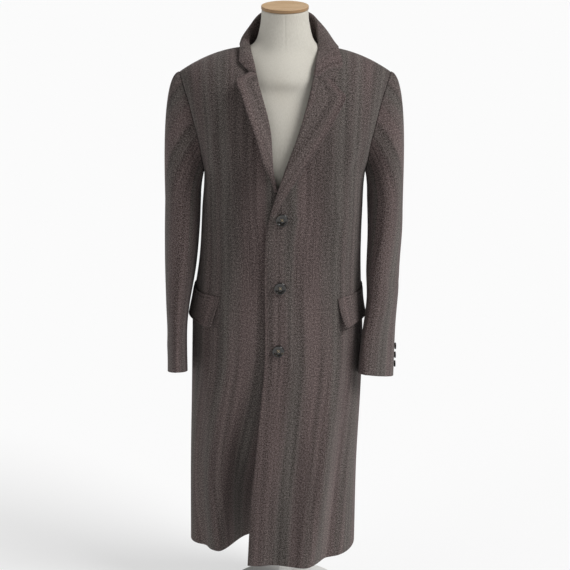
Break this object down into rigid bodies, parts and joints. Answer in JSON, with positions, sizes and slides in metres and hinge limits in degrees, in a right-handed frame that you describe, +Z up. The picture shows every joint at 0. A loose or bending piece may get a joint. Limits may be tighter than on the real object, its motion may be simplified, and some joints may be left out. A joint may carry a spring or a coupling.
{
  "type": "wool overcoat on a dress form",
  "caption": "Long single-breasted wool overcoat with notched lapels and flap pockets, worn open-necked on a limbless dress form with a wooden neck cap and a round floor stand",
  "frame": {"origin": "centre of the underside of the round base, on the floor", "axes": "+Z up, -Y the way the coat faces, +X to the wearer's left"},
  "size_m": [0.51, 0.3094, 1.3573],
  "materials": {
    "wool": "napped wool herringbone in brown and grey, matte",
    "horn": "polished dark horn with a dished face",
    "linen": "tight cream linen, matte",
    "cap_wood": "oiled light wood, satin",
    "stand_paint": "white powder coat, satin"
  },
  "bodies": {
    "root": {"coat_front_left": "wool", "coat_front_right": "wool", "coat_back_left": "wool", "coat_back_right": "wool", "sleeve_top_left": "wool", "sleeve_under_left": "wool", "sleeve_top_right": "wool", "sleeve_under_right": "wool", "collar": "wool", "lapel_left": "wool", "pocket_flap_left": "wool", "pocket_jet_left": "wool", "lapel_right": "wool", "pocket_flap_right": "wool", "pocket_jet_right": "wool", "button_front_1": "horn", "button_front_2": "horn", "button_front_3": "horn", "cuff_button_left_1": "horn", "cuff_button_left_2": "horn", "cuff_button_left_3": "horn", "cuff_button_right_1": "horn", "cuff_button_right_2": "horn", "cuff_button_right_3": "horn", "form_torso": "linen", "form_cap": "cap_wood", "form_pole": "stand_paint", "form_base": "stand_paint"}
  },
  "joints": []
}
